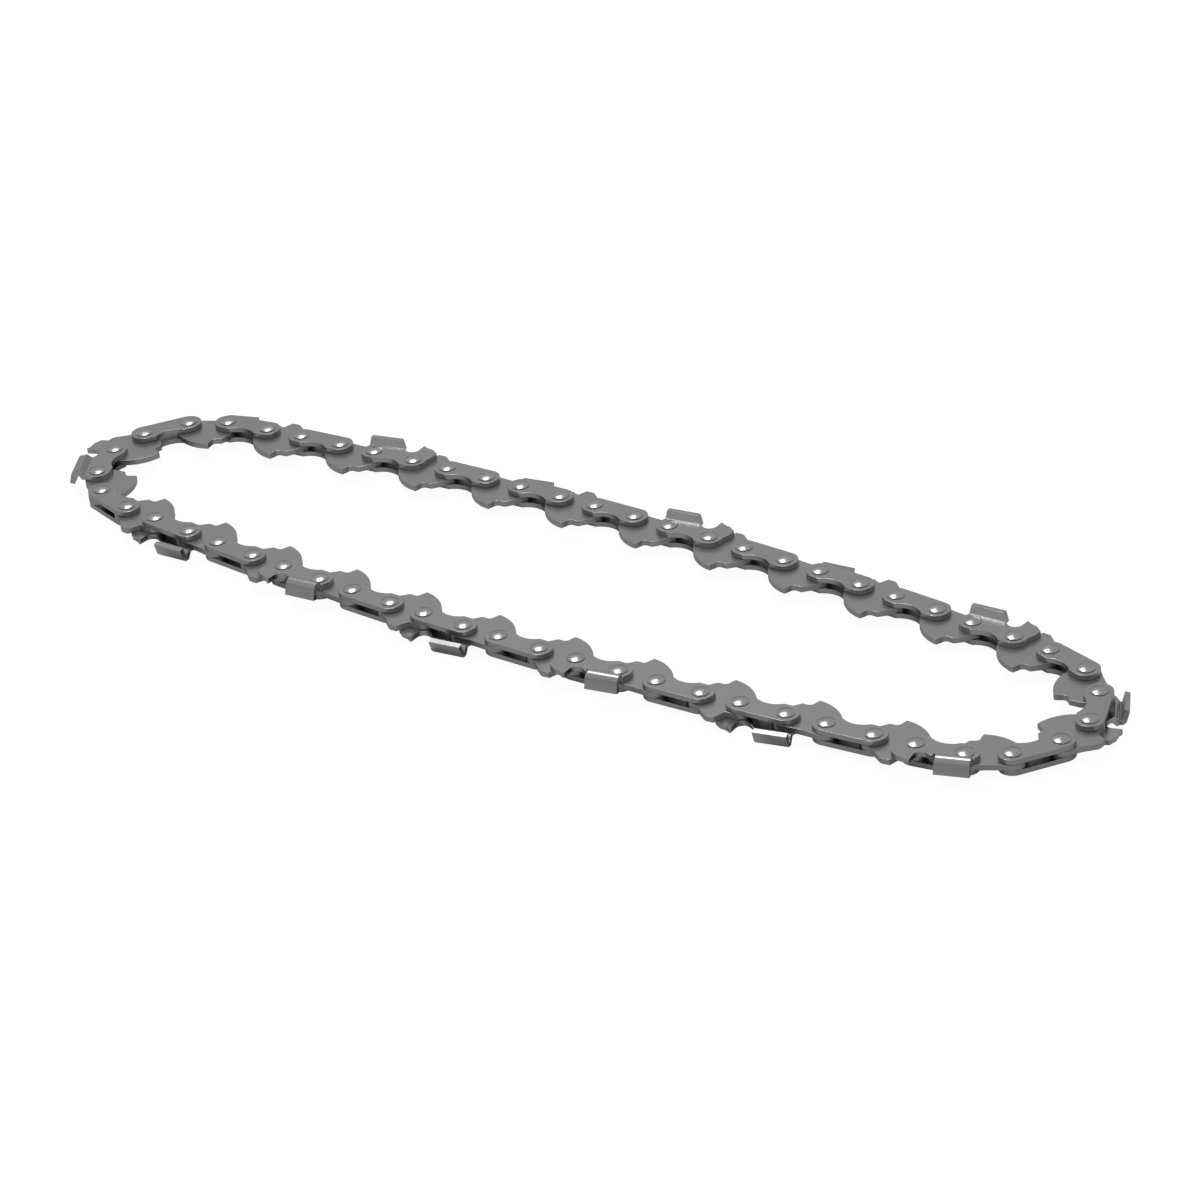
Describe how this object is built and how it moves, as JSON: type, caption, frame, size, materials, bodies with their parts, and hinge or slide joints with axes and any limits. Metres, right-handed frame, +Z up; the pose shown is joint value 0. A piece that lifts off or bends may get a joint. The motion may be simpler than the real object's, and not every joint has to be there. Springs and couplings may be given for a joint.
{
  "type": "chainsaw chain",
  "caption": "Closed loop of chainsaw chain lying flat, with riveted drive links, tie straps and cutters that hinge together.",
  "frame": {"origin": "centre of the loop, on the plane that it rests on", "axes": "+X along the long axis of the loop, +Y across it, +Z up, along the rivets; the chain travels clockwise seen from above"},
  "size_m": [0.2544, 0.066, 0.0062],
  "materials": {
    "drive_steel": "satin blanked steel",
    "strap_steel": "satin blanked steel",
    "cutter_steel": "satin plated steel"
  },
  "bodies": {
    "strap_link_01": {"strap_link_01": "strap_steel"},
    "drive_link_01": {"drive_link_01": "drive_steel"},
    "upper_cutter_link_01": {"upper_cutter_link_01": "cutter_steel"},
    "bumper_drive_link_01": {"bumper_drive_link_01": "drive_steel"},
    "strap_link_02": {"strap_link_02": "strap_steel"},
    "drive_link_02": {"drive_link_02": "drive_steel"},
    "lower_cutter_link_01": {"lower_cutter_link_01": "cutter_steel"},
    "bumper_drive_link_02": {"bumper_drive_link_02": "drive_steel"},
    "strap_link_03": {"strap_link_03": "strap_steel"},
    "drive_link_03": {"drive_link_03": "drive_steel"},
    "upper_cutter_link_02": {"upper_cutter_link_02": "cutter_steel"},
    "bumper_drive_link_03": {"bumper_drive_link_03": "drive_steel"},
    "strap_link_04": {"strap_link_04": "strap_steel"},
    "drive_link_04": {"drive_link_04": "drive_steel"},
    "lower_cutter_link_02": {"lower_cutter_link_02": "cutter_steel"},
    "bumper_drive_link_04": {"bumper_drive_link_04": "drive_steel"},
    "strap_link_05": {"strap_link_05": "strap_steel"},
    "drive_link_05": {"drive_link_05": "drive_steel"},
    "upper_cutter_link_03": {"upper_cutter_link_03": "cutter_steel"},
    "bumper_drive_link_05": {"bumper_drive_link_05": "drive_steel"},
    "strap_link_06": {"strap_link_06": "strap_steel"},
    "drive_link_06": {"drive_link_06": "drive_steel"},
    "lower_cutter_link_03": {"lower_cutter_link_03": "cutter_steel"},
    "bumper_drive_link_06": {"bumper_drive_link_06": "drive_steel"},
    "strap_link_07": {"strap_link_07": "strap_steel"},
    "drive_link_07": {"drive_link_07": "drive_steel"},
    "upper_cutter_link_04": {"upper_cutter_link_04": "cutter_steel"},
    "bumper_drive_link_07": {"bumper_drive_link_07": "drive_steel"},
    "strap_link_08": {"strap_link_08": "strap_steel"},
    "drive_link_08": {"drive_link_08": "drive_steel"},
    "lower_cutter_link_04": {"lower_cutter_link_04": "cutter_steel"},
    "bumper_drive_link_08": {"bumper_drive_link_08": "drive_steel"},
    "strap_link_09": {"strap_link_09": "strap_steel"},
    "drive_link_09": {"drive_link_09": "drive_steel"},
    "upper_cutter_link_05": {"upper_cutter_link_05": "cutter_steel"},
    "bumper_drive_link_09": {"bumper_drive_link_09": "drive_steel"},
    "strap_link_10": {"strap_link_10": "strap_steel"},
    "drive_link_10": {"drive_link_10": "drive_steel"},
    "lower_cutter_link_05": {"lower_cutter_link_05": "cutter_steel"},
    "bumper_drive_link_10": {"bumper_drive_link_10": "drive_steel"},
    "strap_link_11": {"strap_link_11": "strap_steel"},
    "drive_link_11": {"drive_link_11": "drive_steel"},
    "upper_cutter_link_06": {"upper_cutter_link_06": "cutter_steel"},
    "bumper_drive_link_11": {"bumper_drive_link_11": "drive_steel"},
    "strap_link_12": {"strap_link_12": "strap_steel"},
    "drive_link_12": {"drive_link_12": "drive_steel"},
    "lower_cutter_link_06": {"lower_cutter_link_06": "cutter_steel"},
    "bumper_drive_link_12": {"bumper_drive_link_12": "drive_steel"},
    "strap_link_13": {"strap_link_13": "strap_steel"},
    "drive_link_13": {"drive_link_13": "drive_steel"},
    "upper_cutter_link_07": {"upper_cutter_link_07": "cutter_steel"},
    "bumper_drive_link_13": {"bumper_drive_link_13": "drive_steel"},
    "strap_link_14": {"strap_link_14": "strap_steel"},
    "drive_link_14": {"drive_link_14": "drive_steel"},
    "lower_cutter_link_07": {"lower_cutter_link_07": "cutter_steel"},
    "bumper_drive_link_14": {"bumper_drive_link_14": "drive_steel"}
  },
  "joints": [
    {"name": "rivet_18", "type": "hinge", "parent": "drive_link_05", "child": "upper_cutter_link_03", "pos_m": [0.00712, 0.02649, 0.00311], "axis": [0, 0, 1], "range_deg": [-8.98, 0.61]},
    {"name": "rivet_19", "type": "hinge", "parent": "upper_cutter_link_03", "child": "bumper_drive_link_05", "pos_m": [0.0173, 0.02632, 0.00311], "axis": [0, 0, 1], "range_deg": [-8.98, 0.61]},
    {"name": "rivet_20", "type": "hinge", "parent": "bumper_drive_link_05", "child": "strap_link_06", "pos_m": [0.02617, 0.02608, 0.00311], "axis": [0, 0, 1], "range_deg": [-8.98, 0.61]},
    {"name": "rivet_21", "type": "hinge", "parent": "strap_link_06", "child": "drive_link_06", "pos_m": [0.03634, 0.02569, 0.00311], "axis": [0, 0, 1], "range_deg": [-9.82, 0.61]},
    {"name": "rivet_22", "type": "hinge", "parent": "drive_link_06", "child": "lower_cutter_link_03", "pos_m": [0.0452, 0.02525, 0.00311], "axis": [0, 0, 1], "range_deg": [-5.06, 0.61]},
    {"name": "rivet_23", "type": "hinge", "parent": "lower_cutter_link_03", "child": "bumper_drive_link_06", "pos_m": [0.05536, 0.02463, 0.00311], "axis": [0, 0, 1], "range_deg": [-8.98, 0.61]},
    {"name": "rivet_24", "type": "hinge", "parent": "bumper_drive_link_06", "child": "strap_link_07", "pos_m": [0.06421, 0.024, 0.00311], "axis": [0, 0, 1], "range_deg": [-8.98, 0.61]},
    {"name": "rivet_25", "type": "hinge", "parent": "strap_link_07", "child": "drive_link_07", "pos_m": [0.07435, 0.02316, 0.00311], "axis": [0, 0, 1], "range_deg": [-8.98, 0.61]},
    {"name": "rivet_26", "type": "hinge", "parent": "drive_link_07", "child": "upper_cutter_link_04", "pos_m": [0.08318, 0.02233, 0.00311], "axis": [0, 0, 1], "range_deg": [-8.98, 0.61]},
    {"name": "rivet_27", "type": "hinge", "parent": "upper_cutter_link_04", "child": "bumper_drive_link_07", "pos_m": [0.09331, 0.02127, 0.00311], "axis": [0, 0, 1], "range_deg": [-8.98, 0.61]},
    {"name": "rivet_28", "type": "hinge", "parent": "bumper_drive_link_07", "child": "strap_link_08", "pos_m": [0.10212, 0.02025, 0.00311], "axis": [0, 0, 1], "range_deg": [-1.2, 10.1]},
    {"name": "rivet_29", "type": "hinge", "parent": "strap_link_08", "child": "drive_link_08", "pos_m": [0.11187, 0.01732, 0.00311], "axis": [0, 0, 1], "range_deg": [-1.8, 26.9]},
    {"name": "rivet_30", "type": "hinge", "parent": "drive_link_08", "child": "lower_cutter_link_04", "pos_m": [0.11828, 0.01119, 0.00311], "axis": [0, 0, 1], "range_deg": [-1.8, 26.9]},
    {"name": "rivet_31", "type": "hinge", "parent": "lower_cutter_link_04", "child": "bumper_drive_link_08", "pos_m": [0.12165, 0.00158, 0.00311], "axis": [0, 0, 1], "range_deg": [-1.8, 26.9]},
    {"name": "rivet_32", "type": "hinge", "parent": "bumper_drive_link_08", "child": "strap_link_09", "pos_m": [0.12046, -0.00721, 0.00311], "axis": [0, 0, 1], "range_deg": [-1.81, 26.91]},
    {"name": "rivet_33", "type": "hinge", "parent": "strap_link_09", "child": "drive_link_09", "pos_m": [0.11468, -0.01558, 0.00311], "axis": [0, 0, 1], "range_deg": [-1.81, 26.91]},
    {"name": "rivet_34", "type": "hinge", "parent": "drive_link_09", "child": "upper_cutter_link_05", "pos_m": [0.10687, -0.0198, 0.00311], "axis": [0, 0, 1], "range_deg": [-1.21, 19.62]},
    {"name": "rivet_35", "type": "hinge", "parent": "upper_cutter_link_05", "child": "bumper_drive_link_09", "pos_m": [0.09681, -0.02134, 0.00311], "axis": [0, 0, 1], "range_deg": [-0.61, 2.71]},
    {"name": "rivet_36", "type": "hinge", "parent": "bumper_drive_link_09", "child": "strap_link_10", "pos_m": [0.08799, -0.02227, 0.00311], "axis": [0, 0, 1], "range_deg": [-5.06, 0.61]},
    {"name": "rivet_37", "type": "hinge", "parent": "strap_link_10", "child": "drive_link_10", "pos_m": [0.07785, -0.02322, 0.00311], "axis": [0, 0, 1], "range_deg": [-8.98, 0.61]},
    {"name": "rivet_38", "type": "hinge", "parent": "drive_link_10", "child": "lower_cutter_link_05", "pos_m": [0.06901, -0.02395, 0.00311], "axis": [0, 0, 1], "range_deg": [-8.98, 0.61]},
    {"name": "rivet_39", "type": "hinge", "parent": "lower_cutter_link_05", "child": "bumper_drive_link_10", "pos_m": [0.05886, -0.02468, 0.00311], "axis": [0, 0, 1], "range_deg": [-8.98, 0.61]},
    {"name": "rivet_40", "type": "hinge", "parent": "bumper_drive_link_10", "child": "strap_link_11", "pos_m": [0.05, -0.02521, 0.00311], "axis": [0, 0, 1], "range_deg": [-8.98, 0.61]},
    {"name": "rivet_41", "type": "hinge", "parent": "strap_link_11", "child": "drive_link_11", "pos_m": [0.03984, -0.02572, 0.00311], "axis": [0, 0, 1], "range_deg": [-8.98, 0.61]},
    {"name": "rivet_42", "type": "hinge", "parent": "drive_link_11", "child": "upper_cutter_link_06", "pos_m": [0.03097, -0.02606, 0.00311], "axis": [0, 0, 1], "range_deg": [-9.82, 0.61]},
    {"name": "rivet_43", "type": "hinge", "parent": "upper_cutter_link_06", "child": "bumper_drive_link_11", "pos_m": [0.0208, -0.02634, 0.00311], "axis": [0, 0, 1], "range_deg": [-2.71, 0.61]},
    {"name": "rivet_44", "type": "hinge", "parent": "bumper_drive_link_11", "child": "strap_link_12", "pos_m": [0.01193, -0.02648, 0.00311], "axis": [0, 0, 1], "range_deg": [-8.98, 0.61]},
    {"name": "rivet_45", "type": "hinge", "parent": "strap_link_12", "child": "drive_link_12", "pos_m": [0.00175, -0.02654, 0.00311], "axis": [0, 0, 1], "range_deg": [-8.98, 0.61]},
    {"name": "rivet_17", "type": "hinge", "parent": "drive_link_05", "child": "strap_link_05", "pos_m": [-0.00175, 0.02654, 0.00311], "axis": [0, 0, 1], "range_deg": [-0.61, 8.98]},
    {"name": "rivet_16", "type": "hinge", "parent": "strap_link_05", "child": "bumper_drive_link_04", "pos_m": [-0.01193, 0.02648, 0.00311], "axis": [0, 0, 1], "range_deg": [-0.61, 8.98]},
    {"name": "rivet_15", "type": "hinge", "parent": "bumper_drive_link_04", "child": "lower_cutter_link_02", "pos_m": [-0.0208, 0.02634, 0.00311], "axis": [0, 0, 1], "range_deg": [-0.61, 2.71]},
    {"name": "rivet_14", "type": "hinge", "parent": "lower_cutter_link_02", "child": "drive_link_04", "pos_m": [-0.03097, 0.02606, 0.00311], "axis": [0, 0, 1], "range_deg": [-0.61, 9.82]},
    {"name": "rivet_13", "type": "hinge", "parent": "drive_link_04", "child": "strap_link_04", "pos_m": [-0.03984, 0.02572, 0.00311], "axis": [0, 0, 1], "range_deg": [-0.61, 8.98]},
    {"name": "rivet_12", "type": "hinge", "parent": "strap_link_04", "child": "bumper_drive_link_03", "pos_m": [-0.05, 0.02521, 0.00311], "axis": [0, 0, 1], "range_deg": [-0.61, 8.98]},
    {"name": "rivet_11", "type": "hinge", "parent": "bumper_drive_link_03", "child": "upper_cutter_link_02", "pos_m": [-0.05886, 0.02468, 0.00311], "axis": [0, 0, 1], "range_deg": [-0.61, 8.98]},
    {"name": "rivet_10", "type": "hinge", "parent": "upper_cutter_link_02", "child": "drive_link_03", "pos_m": [-0.06901, 0.02395, 0.00311], "axis": [0, 0, 1], "range_deg": [-0.61, 8.98]},
    {"name": "rivet_09", "type": "hinge", "parent": "drive_link_03", "child": "strap_link_03", "pos_m": [-0.07785, 0.02322, 0.00311], "axis": [0, 0, 1], "range_deg": [-0.61, 8.98]},
    {"name": "rivet_08", "type": "hinge", "parent": "strap_link_03", "child": "bumper_drive_link_02", "pos_m": [-0.08799, 0.02227, 0.00311], "axis": [0, 0, 1], "range_deg": [-0.61, 5.06]},
    {"name": "rivet_07", "type": "hinge", "parent": "bumper_drive_link_02", "child": "lower_cutter_link_01", "pos_m": [-0.09681, 0.02134, 0.00311], "axis": [0, 0, 1], "range_deg": [-2.7, 0.6]},
    {"name": "rivet_06", "type": "hinge", "parent": "lower_cutter_link_01", "child": "drive_link_02", "pos_m": [-0.10687, 0.0198, 0.00311], "axis": [0, 0, 1], "range_deg": [-19.6, 1.2]},
    {"name": "rivet_05", "type": "hinge", "parent": "drive_link_02", "child": "strap_link_02", "pos_m": [-0.11468, 0.01558, 0.00311], "axis": [0, 0, 1], "range_deg": [-26.9, 1.8]},
    {"name": "rivet_04", "type": "hinge", "parent": "strap_link_02", "child": "bumper_drive_link_01", "pos_m": [-0.12046, 0.00721, 0.00311], "axis": [0, 0, 1], "range_deg": [-26.9, 1.8]},
    {"name": "rivet_03", "type": "hinge", "parent": "bumper_drive_link_01", "child": "upper_cutter_link_01", "pos_m": [-0.12165, -0.00158, 0.00311], "axis": [0, 0, 1], "range_deg": [-26.91, 1.81]},
    {"name": "rivet_02", "type": "hinge", "parent": "upper_cutter_link_01", "child": "drive_link_01", "pos_m": [-0.11828, -0.01119, 0.00311], "axis": [0, 0, 1], "range_deg": [-26.91, 1.81]},
    {"name": "rivet_01", "type": "hinge", "parent": "drive_link_01", "child": "strap_link_01", "pos_m": [-0.11187, -0.01732, 0.00311], "axis": [0, 0, 1], "range_deg": [-26.91, 1.81]},
    {"name": "rivet_00", "type": "hinge", "parent": "strap_link_01", "child": "bumper_drive_link_14", "pos_m": [-0.10212, -0.02025, 0.00311], "axis": [0, 0, 1], "range_deg": [-10.11, 1.21]},
    {"name": "rivet_55", "type": "hinge", "parent": "bumper_drive_link_14", "child": "lower_cutter_link_07", "pos_m": [-0.09331, -0.02127, 0.00311], "axis": [0, 0, 1], "range_deg": [-0.61, 8.98]},
    {"name": "rivet_54", "type": "hinge", "parent": "lower_cutter_link_07", "child": "drive_link_14", "pos_m": [-0.08318, -0.02233, 0.00311], "axis": [0, 0, 1], "range_deg": [-0.61, 8.98]},
    {"name": "rivet_53", "type": "hinge", "parent": "drive_link_14", "child": "strap_link_14", "pos_m": [-0.07435, -0.02316, 0.00311], "axis": [0, 0, 1], "range_deg": [-0.61, 8.98]},
    {"name": "rivet_52", "type": "hinge", "parent": "strap_link_14", "child": "bumper_drive_link_13", "pos_m": [-0.06421, -0.024, 0.00311], "axis": [0, 0, 1], "range_deg": [-0.61, 8.98]},
    {"name": "rivet_51", "type": "hinge", "parent": "bumper_drive_link_13", "child": "upper_cutter_link_07", "pos_m": [-0.05536, -0.02463, 0.00311], "axis": [0, 0, 1], "range_deg": [-0.61, 8.98]},
    {"name": "rivet_50", "type": "hinge", "parent": "upper_cutter_link_07", "child": "drive_link_13", "pos_m": [-0.0452, -0.02525, 0.00311], "axis": [0, 0, 1], "range_deg": [-0.61, 5.06]},
    {"name": "rivet_49", "type": "hinge", "parent": "drive_link_13", "child": "strap_link_13", "pos_m": [-0.03634, -0.02569, 0.00311], "axis": [0, 0, 1], "range_deg": [-0.61, 9.82]},
    {"name": "rivet_48", "type": "hinge", "parent": "strap_link_13", "child": "bumper_drive_link_12", "pos_m": [-0.02617, -0.02608, 0.00311], "axis": [0, 0, 1], "range_deg": [-0.61, 8.98]},
    {"name": "rivet_47", "type": "hinge", "parent": "bumper_drive_link_12", "child": "lower_cutter_link_06", "pos_m": [-0.0173, -0.02632, 0.00311], "axis": [0, 0, 1], "range_deg": [-0.61, 8.98]}
  ],
  "couplings": [
    {"joint": "rivet_18", "follows": "rivet_31", "ratio": -0.33333},
    {"joint": "rivet_19", "follows": "rivet_04", "ratio": 0.33333},
    {"joint": "rivet_20", "follows": "rivet_05", "ratio": 0.33333},
    {"joint": "rivet_21", "follows": "rivet_06", "ratio": 0.5},
    {"joint": "rivet_22", "follows": "rivet_28", "ratio": -0.5},
    {"joint": "rivet_23", "follows": "rivet_29", "ratio": -0.33333},
    {"joint": "rivet_24", "follows": "rivet_30", "ratio": -0.33333},
    {"joint": "rivet_25", "follows": "rivet_31", "ratio": -0.33333},
    {"joint": "rivet_26", "follows": "rivet_04", "ratio": 0.33333},
    {"joint": "rivet_27", "follows": "rivet_05", "ratio": 0.33333},
    {"joint": "rivet_32", "follows": "rivet_04", "ratio": -1},
    {"joint": "rivet_33", "follows": "rivet_05", "ratio": -1},
    {"joint": "rivet_34", "follows": "rivet_06", "ratio": -1},
    {"joint": "rivet_35", "follows": "rivet_07", "ratio": -1},
    {"joint": "rivet_36", "follows": "rivet_28", "ratio": -0.5},
    {"joint": "rivet_37", "follows": "rivet_29", "ratio": -0.33333},
    {"joint": "rivet_38", "follows": "rivet_30", "ratio": -0.33333},
    {"joint": "rivet_39", "follows": "rivet_31", "ratio": -0.33333},
    {"joint": "rivet_40", "follows": "rivet_04", "ratio": 0.33333},
    {"joint": "rivet_41", "follows": "rivet_05", "ratio": 0.33333},
    {"joint": "rivet_42", "follows": "rivet_06", "ratio": 0.5},
    {"joint": "rivet_43", "follows": "rivet_07", "ratio": 1},
    {"joint": "rivet_44", "follows": "rivet_29", "ratio": -0.33333},
    {"joint": "rivet_45", "follows": "rivet_30", "ratio": -0.33333},
    {"joint": "rivet_17", "follows": "rivet_30", "ratio": 0.33333},
    {"joint": "rivet_16", "follows": "rivet_29", "ratio": 0.33333},
    {"joint": "rivet_15", "follows": "rivet_07", "ratio": -1},
    {"joint": "rivet_14", "follows": "rivet_06", "ratio": -0.5},
    {"joint": "rivet_13", "follows": "rivet_05", "ratio": -0.33333},
    {"joint": "rivet_12", "follows": "rivet_04", "ratio": -0.33333},
    {"joint": "rivet_11", "follows": "rivet_31", "ratio": 0.33333},
    {"joint": "rivet_10", "follows": "rivet_30", "ratio": 0.33333},
    {"joint": "rivet_09", "follows": "rivet_29", "ratio": 0.33333},
    {"joint": "rivet_08", "follows": "rivet_28", "ratio": 0.5},
    {"joint": "rivet_03", "follows": "rivet_31", "ratio": -1},
    {"joint": "rivet_02", "follows": "rivet_30", "ratio": -1},
    {"joint": "rivet_01", "follows": "rivet_29", "ratio": -1},
    {"joint": "rivet_00", "follows": "rivet_28", "ratio": -1},
    {"joint": "rivet_55", "follows": "rivet_05", "ratio": -0.33333},
    {"joint": "rivet_54", "follows": "rivet_04", "ratio": -0.33333},
    {"joint": "rivet_53", "follows": "rivet_31", "ratio": 0.33333},
    {"joint": "rivet_52", "follows": "rivet_30", "ratio": 0.33333},
    {"joint": "rivet_51", "follows": "rivet_29", "ratio": 0.33333},
    {"joint": "rivet_50", "follows": "rivet_28", "ratio": 0.5},
    {"joint": "rivet_49", "follows": "rivet_06", "ratio": -0.5},
    {"joint": "rivet_48", "follows": "rivet_05", "ratio": -0.33333},
    {"joint": "rivet_47", "follows": "rivet_04", "ratio": -0.33333}
  ]
}
